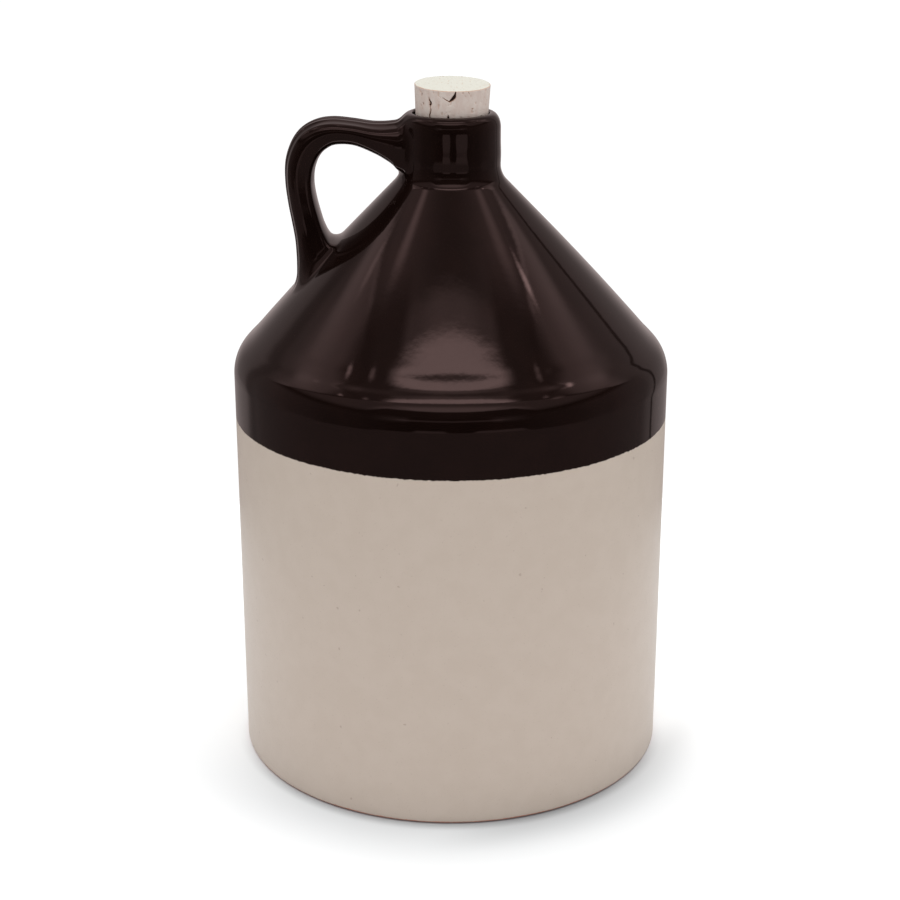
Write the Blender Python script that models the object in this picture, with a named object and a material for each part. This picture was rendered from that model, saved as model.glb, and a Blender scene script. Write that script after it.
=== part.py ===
"""A one gallon stoneware jug with a strap handle and a cork, at its real size.

Metres, +Z up. The origin is the centre of the flat base, on the axis that the body was turned about.
The handle is on the -X side. The stoppered body can't be seen into, so it is solid below the mouth's bore.
"""

import math

import bmesh
import bpy
from mathutils import Euler, Vector

# Body, turned about Z
BODY_RADIUS = 0.089
SHOULDER_HEIGHT = 0.1691
NECK_RADIUS = 0.01984
NECK_FOOT_HEIGHT = 0.2433
RIM_HEIGHT = 0.2677
GLAZE_LINE_HEIGHT = 0.1454
CONE_BULGE = 0.0010
FOOT_ROUNDING = 0.0012
SHOULDER_ROUNDING = 0.0167
CONE_ROUNDING = 1.08
NECK_FOOT_ROUNDING = 0.0100
LIP_DROP = 0.0060
BODY_SEGMENTS = 96

# Mouth
MOUTH_RADIUS = 0.0152
MOUTH_EDGE = 0.0009
MOUTH_FLOOR_HEIGHT = 0.2475
CUTTER_ABOVE_RIM = 0.010

# Steps along each rounded stretch of the turned outlines
FOOT_STEPS = 3
SHOULDER_STEPS = 7
CONE_STEPS = 3
NECK_FOOT_STEPS = 5
LIP_STEPS = 7
MOUTH_EDGE_STEPS = 3
CORK_EDGE_STEPS = 2

# Handle: a strap that runs from the neck, over the finger gap, to the cone. Each station gives the X and Z
# of a point on the strap's outer face, those of the point opposite on its inner face, and half its width,
# in millimetres.
HANDLE_STATIONS = (
    (-12.0, 266.6, -12.0, 242.0, 10.8),
    (-17.5, 266.6, -17.6, 242.0, 11.0),
    (-20.8, 265.7, -21.2, 243.4, 10.9),
    (-23.3, 264.8, -22.8, 246.4, 10.6),
    (-26.8, 264.2, -25.5, 248.8, 10.2),
    (-31.8, 264.2, -30.2, 251.6, 10.0),
    (-38.8, 265.2, -38.0, 255.0, 10.0),
    (-46.5, 266.0, -45.2, 255.3, 10.0),
    (-53.0, 265.1, -49.2, 253.5, 10.0),
    (-59.0, 262.2, -51.6, 250.7, 10.0),
    (-63.4, 256.8, -53.5, 247.9, 10.0),
    (-66.1, 249.0, -54.7, 244.2, 10.0),
    (-66.3, 240.5, -55.0, 239.2, 10.0),
    (-65.5, 232.0, -54.1, 233.4, 10.0),
    (-64.4, 224.8, -52.4, 227.2, 10.0),
    (-63.4, 218.0, -50.3, 222.0, 10.3),
    (-62.9, 212.5, -47.6, 218.3, 11.0),
    (-62.8, 207.5, -43.6, 215.8, 12.1),
    (-62.8, 202.0, -42.0, 207.0, 14.2),
    (-62.6, 196.0, -42.0, 199.0, 15.6),
)
STEPS_PER_STATION = 2
SECTION_POINTS = 36
SECTION_POWER = 2.3
RIDGE_PITCH = 0.0040
RIDGE_HEIGHT = 0.0005
RIDGED_HALF_WIDTH = 0.0090

# Cork
CORK_TOP = (0.00064, -0.00068, 0.2788)
CORK_RADIUS = 0.0150
CORK_LENGTH = 0.030
CORK_TAPER = math.radians(2.8)
CORK_LEAN = Euler((math.radians(3.56), math.radians(1.12), 0))
CORK_EDGE = 0.0004
CORK_SEGMENTS = 64

MM = 0.001
WELD_DISTANCE = 0.000001
SMOOTH_ANGLE = math.radians(45)


def clear_scene():
    for obj in list(bpy.data.objects):
        bpy.data.objects.remove(obj)


def material(name, colour, roughness):
    mat = bpy.data.materials.new(name)
    mat.diffuse_color = (*colour, 1)
    mat.use_nodes = True
    shader = mat.node_tree.nodes["Principled BSDF"]
    shader.inputs["Base Color"].default_value = (*colour, 1)
    shader.inputs["Roughness"].default_value = roughness
    shader.inputs["Metallic"].default_value = 0
    return mat


def round_corner(before, corner, after, radius, steps):
    """Points of the arc that rounds a corner of an outline."""
    towards_before = (before - corner).normalized()
    towards_after = (after - corner).normalized()
    half_angle = towards_before.angle(towards_after) / 2
    centre = corner + (towards_before + towards_after).normalized() * (radius / math.sin(half_angle))
    reach = radius / math.tan(half_angle)
    start = corner + towards_before * reach - centre
    end = corner + towards_after * reach - centre
    turn = start.angle_signed(end)
    points = []
    for step in range(steps + 1):
        angle = -turn * step / steps
        x = start.x * math.cos(angle) - start.y * math.sin(angle)
        y = start.x * math.sin(angle) + start.y * math.cos(angle)
        points.append(centre + Vector((x, y)))
    return points


def lip_points():
    """The rim's outer rounding, a quarter of an ellipse that ends where the mouth's edge begins."""
    width = NECK_RADIUS - MOUTH_RADIUS - MOUTH_EDGE
    points = []
    for step in range(LIP_STEPS + 1):
        angle = math.pi / 2 * step / LIP_STEPS
        radius = NECK_RADIUS - width * (1 - math.cos(angle))
        height = RIM_HEIGHT - LIP_DROP * (1 - math.sin(angle))
        points.append(Vector((radius, height)))
    return points


def body_outline():
    """The turned profile, as (radius, height), from the base's centre up to the rim's centre."""
    foot = Vector((BODY_RADIUS, 0))
    shoulder = Vector((BODY_RADIUS, SHOULDER_HEIGHT))
    neck_foot = Vector((NECK_RADIUS, NECK_FOOT_HEIGHT))
    slope = (neck_foot - shoulder).normalized()
    middle = (shoulder + neck_foot) / 2 + Vector((slope.y, -slope.x)) * CONE_BULGE
    lip = lip_points()
    base_centre = Vector((0, 0))
    outline = [base_centre]
    outline += round_corner(base_centre, foot, shoulder, FOOT_ROUNDING, FOOT_STEPS)
    outline.append(Vector((BODY_RADIUS, GLAZE_LINE_HEIGHT)))
    outline += round_corner(foot, shoulder, middle, SHOULDER_ROUNDING, SHOULDER_STEPS)
    outline += round_corner(shoulder, middle, neck_foot, CONE_ROUNDING, CONE_STEPS)
    outline += round_corner(middle, neck_foot, lip[0], NECK_FOOT_ROUNDING, NECK_FOOT_STEPS)
    outline += lip
    outline.append(Vector((0, RIM_HEIGHT)))
    return outline


def cutter_outline():
    """The bore's profile, from its floor's centre, past the mouth's flared inner edge, to above the rim."""
    outline = [Vector((0, MOUTH_FLOOR_HEIGHT)), Vector((MOUTH_RADIUS, MOUTH_FLOOR_HEIGHT))]
    for step in range(MOUTH_EDGE_STEPS + 1):
        angle = math.pi / 2 * step / MOUTH_EDGE_STEPS
        radius = MOUTH_RADIUS + MOUTH_EDGE * (1 - math.cos(angle))
        outline.append(Vector((radius, RIM_HEIGHT - MOUTH_EDGE * (1 - math.sin(angle)))))
    outline.append(Vector((outline[-1].x, RIM_HEIGHT + CUTTER_ABOVE_RIM)))
    outline.append(Vector((0, RIM_HEIGHT + CUTTER_ABOVE_RIM)))
    return outline


def new_object(name, bm, materials=()):
    bmesh.ops.recalc_face_normals(bm, faces=bm.faces)
    mesh = bpy.data.meshes.new(name)
    bm.to_mesh(mesh)
    bm.free()
    for mat in materials:
        mesh.materials.append(mat)
    obj = bpy.data.objects.new(name, mesh)
    bpy.context.scene.collection.objects.link(obj)
    return obj


def turned(name, outline, segments, materials=()):
    """A closed solid turned about Z from an outline that starts and ends on the axis."""
    bm = bmesh.new()
    verts = [bm.verts.new((point.x, 0, point.y)) for point in outline]
    edges = [bm.edges.new(pair) for pair in zip(verts, verts[1:])]
    bmesh.ops.spin(
        bm, geom=verts + edges, cent=(0, 0, 0), axis=(0, 0, 1), angle=math.tau, steps=segments, use_merge=True
    )
    bmesh.ops.remove_doubles(bm, verts=bm.verts, dist=WELD_DISTANCE)
    return new_object(name, bm, materials)


def smooth_station(position):
    """Outer point, inner point and half width, on a Catmull-Rom curve through the stations."""
    last = len(HANDLE_STATIONS) - 1
    index = min(int(position), last - 1)
    part = position - index
    around = [HANDLE_STATIONS[max(0, min(last, index + offset))] for offset in (-1, 0, 1, 2)]
    values = []
    for a, b, c, d in zip(*around):
        square = 2 * a - 5 * b + 4 * c - d
        cube = 3 * b - a - 3 * c + d
        values.append((2 * b + (c - a) * part + square * part**2 + cube * part**3) / 2 * MM)
    outer_x, outer_z, inner_x, inner_z, half_width = values
    return Vector((outer_x, 0, outer_z)), Vector((inner_x, 0, inner_z)), half_width


def signed_power(value, power):
    return math.copysign(abs(value) ** power, value)


def hollow(across):
    """How deep the strap's outer face lies, at a distance across it, between its lengthwise ridges."""
    fade = max(0, 1 - (across / RIDGED_HALF_WIDTH) ** 4)
    return RIDGE_HEIGHT * fade * (1 - math.cos(math.tau * across / RIDGE_PITCH)) / 2


def strap_section(outer, inner, half_width):
    """The strap's cross-section: a rounded flat oval across Y, with ridges on its outer side."""
    centre = (outer + inner) / 2
    outward = (outer - inner).normalized()
    half_thickness = (outer - inner).length / 2
    points = []
    for index in range(SECTION_POINTS):
        angle = math.tau * index / SECTION_POINTS
        distance = half_thickness * signed_power(math.cos(angle), 2 / SECTION_POWER)
        across = half_width * signed_power(math.sin(angle), 2 / SECTION_POWER)
        if distance > 0:
            distance -= hollow(across)
        points.append(centre + outward * distance + Vector((0, across, 0)))
    return points


def make_handle():
    """The strap, lofted through its stations. Both ends run into the body."""
    bm = bmesh.new()
    steps = (len(HANDLE_STATIONS) - 1) * STEPS_PER_STATION
    rings = []
    for step in range(steps + 1):
        section = strap_section(*smooth_station(step / STEPS_PER_STATION))
        rings.append([bm.verts.new(point) for point in section])
    for ring, after in zip(rings, rings[1:]):
        for index in range(SECTION_POINTS):
            following = (index + 1) % SECTION_POINTS
            bm.faces.new((ring[index], ring[following], after[following], after[index]))
    bm.faces.new(rings[0])
    bm.faces.new(rings[-1])
    return new_object("handle_strap", bm)


def apply_boolean(target, other, operation):
    """Join or cut a solid, apply it, and remove the other one."""
    other.hide_render = True
    other.display_type = "WIRE"
    modifier = target.modifiers.new(operation.lower(), "BOOLEAN")
    modifier.operation = operation
    modifier.solver = "EXACT"
    modifier.object = other
    depsgraph = bpy.context.evaluated_depsgraph_get()
    mesh = bpy.data.meshes.new_from_object(target.evaluated_get(depsgraph))
    target.modifiers.remove(modifier)
    target.data = mesh
    bpy.data.objects.remove(other)


def paint_by_height(mesh, foot_slot, pale_slot, dark_slot):
    for face in mesh.polygons:
        if face.center.z > GLAZE_LINE_HEIGHT:
            face.material_index = dark_slot
        elif face.center.z > FOOT_ROUNDING:
            face.material_index = pale_slot
        else:
            face.material_index = foot_slot


def make_jug():
    """Body, neck and handle, one fired piece."""
    jug = turned("jug", body_outline(), BODY_SEGMENTS)
    apply_boolean(jug, make_handle(), "UNION")
    apply_boolean(jug, turned("mouth_cutter", cutter_outline(), BODY_SEGMENTS), "DIFFERENCE")
    jug.data.materials.clear()
    jug.data.materials.append(material("bare_foot", (0.33, 0.16, 0.10), 0.8))
    jug.data.materials.append(material("cream_glaze", (0.60, 0.52, 0.44), 0.4))
    jug.data.materials.append(material("brown_glaze", (0.022, 0.010, 0.008), 0.12))
    paint_by_height(jug.data, 0, 1, 2)
    jug.data.shade_smooth()
    jug.data.set_sharp_from_angle(angle=SMOOTH_ANGLE)
    return jug


def make_cork():
    """A tapered stopper, leaning a little in the mouth. Its own origin is the centre of its top."""
    bottom_radius = CORK_RADIUS - CORK_LENGTH * math.tan(CORK_TAPER)
    top_centre = Vector((0, 0))
    top_edge = Vector((CORK_RADIUS, 0))
    bottom_edge = Vector((bottom_radius, -CORK_LENGTH))
    bottom_centre = Vector((0, -CORK_LENGTH))
    outline = [bottom_centre]
    outline += round_corner(bottom_centre, bottom_edge, top_edge, CORK_EDGE, CORK_EDGE_STEPS)
    outline += round_corner(bottom_edge, top_edge, top_centre, CORK_EDGE, CORK_EDGE_STEPS)
    outline.append(top_centre)
    cork = turned("cork", outline, CORK_SEGMENTS, [material("cork", (0.58, 0.44, 0.34), 0.8)])
    cork.location = CORK_TOP
    cork.rotation_euler = CORK_LEAN
    cork.data.shade_smooth()
    cork.data.set_sharp_from_angle(angle=SMOOTH_ANGLE)
    return cork


def main():
    clear_scene()
    make_jug()
    make_cork()


main()
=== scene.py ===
"""The looks of a glazed stoneware jug with a cork in its mouth. Metres, +Z up, the handle towards -X."""

import math

import bmesh
import bpy
import numpy as np
from mathutils import Euler, Matrix, Vector, noise
from mathutils.bvhtree import BVHTree


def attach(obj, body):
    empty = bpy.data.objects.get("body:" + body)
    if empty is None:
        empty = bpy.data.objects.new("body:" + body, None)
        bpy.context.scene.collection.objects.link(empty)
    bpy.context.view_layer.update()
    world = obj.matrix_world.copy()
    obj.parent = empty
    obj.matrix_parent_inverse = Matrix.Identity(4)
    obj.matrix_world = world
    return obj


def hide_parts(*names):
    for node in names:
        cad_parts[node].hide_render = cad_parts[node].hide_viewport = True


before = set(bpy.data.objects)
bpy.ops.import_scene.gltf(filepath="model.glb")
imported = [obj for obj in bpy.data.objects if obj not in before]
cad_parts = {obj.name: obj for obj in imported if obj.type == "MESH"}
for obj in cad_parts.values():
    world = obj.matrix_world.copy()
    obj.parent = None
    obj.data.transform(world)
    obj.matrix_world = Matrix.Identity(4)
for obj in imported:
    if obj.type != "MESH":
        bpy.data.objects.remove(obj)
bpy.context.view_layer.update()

MM = 0.001

# Body, turned about Z: the sizes of the solid that it stands for
BODY_RADIUS = 0.089
SHOULDER_HEIGHT = 0.1691
NECK_RADIUS = 0.01984
NECK_FOOT_HEIGHT = 0.2433
RIM_HEIGHT = 0.2677
GLAZE_LINE_HEIGHT = 0.1454
CONE_BULGE = 0.0010
FOOT_ROUNDING = 0.0012
SHOULDER_ROUNDING = 0.0167
CONE_ROUNDING = 1.08
NECK_FOOT_ROUNDING = 0.0100
LIP_DROP = 0.0060
BODY_SEGMENTS = 384

# Faint rings: place up the slope from the shoulder's corner, reach, and how much further out the outline is
# below there
RINGS = (
    (0.0172, 0.0022, -0.00007),
    (0.0100, 0.0018, 0.00019),
    (0.0000, 0.0040, -0.00010),
)

# The neck's slight flare: how far out, how high above the neck's foot, and its reach
NECK_FLARE = 0.00016
NECK_FLARE_PLACE = 0.0080
NECK_FLARE_REACH = 0.0036

# Mouth, and steps round its edge and the lip
MOUTH_RADIUS = 0.0152
MOUTH_EDGE = 0.0009
MOUTH_FLOOR_HEIGHT = 0.2475
CUTTER_ABOVE_RIM = 0.010
MOUTH_EDGE_STEPS = 8
LIP_STEPS = 16

# Longest step along the outline: on the straight wall, above it, where the glaze mirrors most, and at the
# rings, which end at a height above the shoulder's corner
WALL_STEP = 0.004
CONE_STEP = 0.0011
RING_STEP = 0.0006
RINGED_HEIGHT = 0.025

# Handle: each station gives X and Z of a point on the strap's outer face, those of the point opposite on its
# inner face, and half its width, in millimetres
HANDLE_STATIONS = (
    (-12.0, 266.0, -12.0, 244.6, 10.8),
    (-17.5, 265.5, -17.6, 244.6, 11.0),
    (-20.8, 264.6, -20.9, 245.4, 10.9),
    (-23.3, 264.2, -22.9, 247.4, 10.6),
    (-26.8, 263.9, -25.6, 249.3, 10.2),
    (-31.8, 264.0, -30.2, 251.9, 10.0),
    (-38.8, 265.0, -38.0, 255.0, 10.0),
    (-46.5, 265.7, -45.2, 255.3, 10.0),
    (-53.0, 264.8, -49.2, 253.5, 10.0),
    (-58.9, 261.8, -51.7, 250.9, 10.0),
    (-63.1, 256.5, -53.3, 247.7, 10.0),
    (-65.8, 248.8, -54.3, 243.8, 10.0),
    (-66.1, 240.5, -54.5, 239.0, 10.0),
    (-65.2, 232.0, -53.7, 233.4, 10.0),
    (-64.0, 224.8, -52.2, 227.2, 10.0),
    (-62.9, 218.0, -50.6, 222.0, 10.3),
    (-62.5, 212.5, -48.1, 217.4, 11.0),
    (-62.4, 207.5, -43.6, 214.2, 12.1),
    (-62.4, 202.0, -42.0, 207.0, 14.2),
    (-62.2, 196.0, -42.0, 199.0, 15.6),
)
STEPS_PER_STATION = 6

# Its section: points along each part, shape of the back and the inner side, and lengthwise ridges
BACK_POINTS = 46
SIDE_POINTS = 10
CORNER_POINTS = 8
INNER_POINTS = 16
SECTION_POWER = 2.3
INNER_SHARE = 0.96
INNER_BULGE = 0.0011
CORNER_REACH = 0.0020
RIDGE_PITCH = 0.0040
RIDGE_HEIGHT = 0.0005
RIDGE_WIDTH = 0.0009
RIDGED_HALF_WIDTH = 0.0090

# Joins between handle and body: how far their smoothed corner reaches, at the root and at the neck
ROOT_BLEND = 0.0036
NECK_BLEND = 0.0030
BLEND_CHANGE_HEIGHT = 0.235
BLEND_CHANGE_OVER = 0.008

# Where the joins are. Points up to this many reaches from both surfaces are moved onto the join, in this many
# rounds of at most the longest move.
JOIN_START = -NECK_RADIUS / 2
JOIN_HALF_WIDTH = 0.030
JOIN_LOWEST = 0.185
JOIN_REACHES = 1.6
PROJECTION_ROUNDS = 8
LONGEST_MOVE = ROOT_BLEND / 5
LEAST_SLOPE = 0.05

# Points closer than this are merged after the union. The tiny values keep divisions sound.
WELD_DISTANCE = 0.00004
TINY = 1e-9
TINY_SQUARE = 1e-24

# Cork
CORK_TOP = (0.00064, -0.00068, 0.2788)
CORK_RADIUS = 0.0150
CORK_LENGTH = 0.030
CORK_TAPER = math.radians(2.8)
CORK_LEAN = Euler((math.radians(3.56), math.radians(1.12), 0))
CORK_EDGE = 0.0004
CORK_SEGMENTS = 420

# The cork's mesh: fine on its side down to where it is in the mouth, a little coarser on its flat top, which
# reaches to a share of the radius
CORK_SHOWN = 0.0130
CORK_STEP = 0.00022
CORK_TOP_STEP = 0.00035
CORK_TOP_SHARE = 0.97

# The cork's relief: grain and pits by their noise's size, their depth, and from which value of its noise, and
# over how much more, a pit grows. A crack's edge is softened over a width and widened by a share of it. The
# side begins some edge roundings inside the radius, and the relief ends at a share of the length.
GRAIN_SIZE = 0.0011
GRAIN_DEPTH = 0.00004
PIT_SIZE = (0.0011, 0.0011, 0.0019)
PIT_SHIFT = (7, 3, 1)
PIT_DEPTH = 0.00018
PIT_FROM = 0.42
PIT_OVER = 0.12
CRACK_EDGE = 0.00022
CRACK_WIDENING = 0.35
CORK_SIDE_MARGIN = 1.2
CORK_RELIEF_SHARE = 0.9

# Painted shade in the relief: a crack this deep is painted fully dark, and a pit by this share
FULL_CAVITY_DEPTH = 0.0003
PIT_DARKNESS = 0.25

# Cracks in the cork's side, in millimetres: the depth, then for each point its place along the side (plus is
# right of the front), how far below the top's edge it is, and half the crack's width
CORK_CRACKS = (
    (1.10, ((1.25, 0.2, 0.10), (1.05, 1.2, 0.28), (0.75, 2.2, 0.62), (0.15, 3.0, 0.55), (-1.2, 4.1, 0.12))),
    (0.45, ((-1.2, 4.1, 0.12), (-2.7, 3.3, 0.12), (-3.9, 2.6, 0.08))),
    (1.10, ((-9.9, 3.2, 0.08), (-9.6, 4.3, 0.30), (-9.1, 5.1, 0.48), (-9.4, 6.0, 0.25), (-9.5, 6.7, 0.08))),
    (0.60, ((-9.4, 6.8, 0.10), (-9.0, 7.8, 0.16), (-9.3, 9.0, 0.22), (-9.7, 10.0, 0.24), (-9.6, 11.6, 0.24))),
    (0.90, ((-1.6, 9.4, 0.10), (-1.5, 10.4, 0.34), (-1.3, 11.8, 0.62))),
    (0.30, ((-14.0, 1.6, 0.10), (-13.8, 2.3, 0.22), (-13.9, 3.2, 0.08))),
    (0.30, ((-13.2, 5.8, 0.20), (-13.0, 6.2, 0.22))),
    (0.20, ((-13.8, 7.3, 0.10), (-14.0, 8.6, 0.08))),
    (0.25, ((8.2, 6.9, 0.10), (8.6, 7.2, 0.22), (9.0, 7.0, 0.10))),
    (0.25, ((6.4, 0.2, 0.10), (6.7, 1.1, 0.14))),
    (0.20, ((5.0, 1.8, 0.08), (5.5, 2.2, 0.10))),
    (0.45, ((12.6, 10.9, 0.10), (14.0, 10.9, 0.35), (15.4, 11.4, 0.30))),
)

# Faint lines in the cork's top, in millimetres: the depth, then for each point how far to the right and back
# it is, and half the line's width
CORK_TOP_LINES = (
    (
        0.11,
        ((6.6, -13.5, 0.16), (8.4, -9.6, 0.14), (10.3, -6.1, 0.12), (12.4, -1.5, 0.14), (14.0, 1.1, 0.16)),
    ),
    (0.09, ((14.0, 1.1, 0.16), (14.8, -2.6, 0.12))),
    (0.10, ((2.4, 5.4, 0.15), (2.9, 6.2, 0.20))),
    (0.06, ((-8.0, -1.0, 0.15), (-6.8, 4.5, 0.15))),
    (0.05, ((-6.0, 2.0, 0.15), (-3.5, 9.5, 0.15))),
)

# Camera, from the ellipses and the sides in the photograph
CAMERA_PITCH = math.radians(19.47)
CAMERA_DISTANCE = 0.7719
CAMERA_TARGET_HEIGHT = 0.1261
CAMERA_OFFSET = -0.00034
LENS = 73.48
SENSOR = 36.0

# Floor: a soft shade round the base. A range gives where a smooth change starts and ends, and the value on
# either side, which is 0 and 1 where only two numbers are given.
# The shade round the base is a painted shadow in the floor's colour, and the glow behind the base is painted
# light
FLOOR_RADIUS = 0.30
FLOOR_SEGMENTS = 96
FLOOR_DROP = 0.0002
FLOOR_ROUGHNESS = 0.9
FLOOR_SCALE = 9
FLOOR_PALE = (0.885, 0.897, 0.905)
FLOOR_PALER = (0.900, 0.912, 0.920)
FLOOR_NEAR = (0.720, 0.741, 0.757)
FLOOR_NEAR_RANGE = (BODY_RADIUS - 0.005, BODY_RADIUS + 0.044, 1.0, 0.0)
FLOOR_FRONT_RANGE = (-0.085, 0.01, 1.0, 0.0)
FLOOR_GLOW_BEHIND = 0.12
CONTACT_SHADE = (BODY_RADIUS, BODY_RADIUS + 0.0055, 0.36, 0.0)
RIGHT_SHADE = (BODY_RADIUS - 0.002, BODY_RADIUS + 0.024, 0.24, 0.0)
RIGHT_SHADE_START = (0.088, 0.122)

# Colours, those of the glazes, the foot and the cork among them
BLACK = (0.0, 0.0, 0.0)
WHITE = (1.0, 1.0, 1.0)
CREAM = (0.503, 0.431, 0.367)
CREAM_DARK = (0.488, 0.416, 0.352)
# The paler, warmer tint of the painted light on the cream's upper part
CREAM_LIT_TINT = (1.0, 0.86, 0.73)
SPECK = (0.30, 0.23, 0.19)
BROWN = (0.0046, 0.0021, 0.0016)
BROWN_THIN = (0.0085, 0.0036, 0.0028)
FOOT = (0.42, 0.18, 0.13)
CORK_PALE = (0.60, 0.515, 0.465)
CORK_PINK = (0.56, 0.455, 0.405)
CORK_TOP_COLOUR = (0.515, 0.505, 0.448)
CORK_CRACK_SHADE = (0.030, 0.012, 0.008)
CORK_RUST = (0.42, 0.20, 0.10)

# Glazes. A scale is a noise's cells per metre, a share is its weight in the relief, and ranges are as above.
# How ragged the glaze line is, how far it wanders, its softness and the bump's depth are in metres.
NOISE_ROUGHNESS = 0.5
RAGGED_SCALE = 700
LINE_RAGGED = 0.0009
WANDER_SCALE = 45
LINE_WANDER = 0.0006
LINE_SOFTNESS = 0.0002
BARE_FOOT = (0.0006, 0.0011, 1.0, 0.0)
FINE_SCALE = 1500
MOTTLE_SCALE = 130
MOTTLE_RANGE = (0.3, 0.7)
SMALL_SPECKS = (0.66, 0.74, 0.0, 0.30)
SPECK_SCALE = 420
LARGE_SPECKS = (0.77, 0.80, 0.0, 0.5)
# Painted shade and light on the cream: how much, and the heights over which darker at the foot turns to paler
# at the top
CREAM_PAINTED_SHADING = 0.03
CREAM_SHADE_TO_LIGHT_HEIGHTS = (0.03, 0.145)
BROWN_SCALE = 90
BROWN_THIN_RANGE = (0.35, 0.75, 0.0, 0.35)
GLOSS_SCALE = 260
BROWN_ROUGHNESS = (0.2, 0.8, 0.035, 0.065)
CREAM_ROUGHNESS = (0.2, 0.8, 0.36, 0.46)
FOOT_ROUGHNESS = 0.85
GLAZE_IOR = 1.56
GLAZE_TINT = (1.0, 0.72, 0.70)
PEEL_SCALE = 520
PEEL_SHARE = 0.45
LONG_WAVE_SCALE = 70
LONG_WAVE_SHARE = 2.2
SHORT_WAVE_SCALE = 230
SHORT_WAVE_SHARE = 0.9
FINE_GRAIN_SHARE = 0.8
COARSE_GRAIN_SCALE = 500
COARSE_GRAIN_SHARE = 1.6
GLAZE_BUMP = 0.00001

# Cork's material, in the same terms
CORK_STRETCH = (1, 1, 0.45)
BLOTCH_SCALE = 420
BLOTCH_RANGE = (0.35, 0.65)
CORK_TOP_FACING = (0.5, 0.9)
RIM_FACING_IN = (0.25, 0.50)
RIM_FACING_OUT = (0.80, 0.96, 1.0, 0.0)
RIM_SCALE = 160
RIM_UNEVEN = (0.35, 0.60, 0.2, 0.75)
CORK_SPECK_SCALE = 1500
CORK_SPECKS = (0.64, 0.76, 0.0, 0.45)
CRACK_RUST = (0.08, 0.40, 0.0, 0.6)
CRACK_SHADE_RANGE = (0.35, 0.95)
CORK_ROUGHNESS = (0.2, 0.8, 0.78, 0.92)
CORK_RELIEF_SCALE = 1800
CORK_BUMP = 0.00005

# Light panels: name, place, width, height and radiance
LIGHT_TARGET = (0, 0, 0.10)
LIGHT_PANELS = (
    ("ceiling", (0, 0, 1.50), 1.40, 1.40, 2.6),
    ("left_panel", (-0.75, 0.10, 0.35), 0.5, 0.6, 0.05),
    ("right_panel", (0.75, 0.05, 0.35), 0.5, 0.6, 0.20),
)

# World: even light that leans to the right, white backdrop, and the tint of what the gloss mirrors
DIFFUSE_LEVEL = 0.86
DIFFUSE_LEAN = 0.03
BACKDROP_LEVEL = 1.05
MIRRORED_FRONT = (1.0, 0.89, 0.87)
MIRRORED_BACK = (1.0, 0.84, 0.82)
TINT_CHANGE = (0.6, 1.6)

# Light tent, the roof: places are in units of its height. An oval is its place to the right and ahead, its
# size and its strength.
LEAST_UP = 0.02
ROOF_ARCH = -0.30
ROOF_LEVEL = 0.135
ROOF_GAIN = 0.8
ROOF_GAIN_LIMIT = 0.25
ROOF_OVALS = ((0.62, 0.02, 0.16, 0.50), (-0.58, -0.03, 0.13, 0.70))
ROOF_STEP = (-0.350, -0.300, 0.42, 0.0)
ROOF_STEP_WIDTH = (0.10, 0.35, 1.0, 0.4)
SEAM_SLANT = 0.5
SEAM_START = (0.35, 0.50)
SEAM_WIDTH = (0.34, 0.46)
SEAM_LEVEL = 0.115
STRIP_FULL_BEND = 0.15
STRIP_FULL_PLACE = -0.408
STRIP_BEGIN_BEND = 0.26
STRIP_BEGIN_PLACE = -0.374
STRIP_WIDTH = (0.38, 0.54, 1.0, 0.0)
STRIP_LEVEL = 2.0
ROOF_FRONT_EDGE = (-0.475, -0.450, 1.0, 0.0)
LAMP_OVALS = (
    (0.825, 0.09, 0.065, 2.6),
    (-0.94, 0.27, 0.09, 0.5),
    (-0.855, -0.125, 0.045, 1.6),
    (-0.64, -0.285, 0.045, 0.8),
    (0.715, -0.225, 0.045, 0.7),
    (0.88, -0.23, 0.12, 0.5),
)

# Light tent, in front of the roof. Where its fading starts and ends is given in the middle and at the sides.
FRONT_TO_SIDE = (38, 52)
FRONT_FALL = (-0.80, -0.52, 0.85, 0.30)
FRONT_SIDE_LEVEL = 0.34
FRONT_FADE_START = (1.0, 1.30)
FRONT_FADE_END = (1.12, 1.95)
FRONT_LEAST = 0.04

# Light tent, the side panels and the bright line along the roof's side edges, left and right
SIDE_EDGE_SLANT = -0.37
SIDE_EDGE_PLACE = 0.80
ROOF_SIDE_EDGE = (-0.10, -0.02, 1.0, 0.75)
PANEL_START = (-0.015, 0.03)
PANEL_BEHIND_FRONT = (-0.45, -0.30)
PANEL_LEVEL = 0.47
PANEL_OVAL = (1.05, 0.42, 0.42, 0.30)
PANEL_FRONT_END = (-0.14, 0.05, 0.25, 1.0)
PANEL_FADE_REACH = (1.15, 1.45)
PANEL_FADE_ASIDE = (108, 120)
PANEL_FADED_LEVEL = 0.25
LINE_WIDTH = (0.004, 0.030, 1.0, 0.0)
LINE_START = (-0.06, 0.02)
LINE_END = (0.35, 0.75, 1.0, 0.0)
LINE_LEVELS = (0.25, 0.50)
RIGHT_HALF = (-0.1, 0.1)

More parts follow.
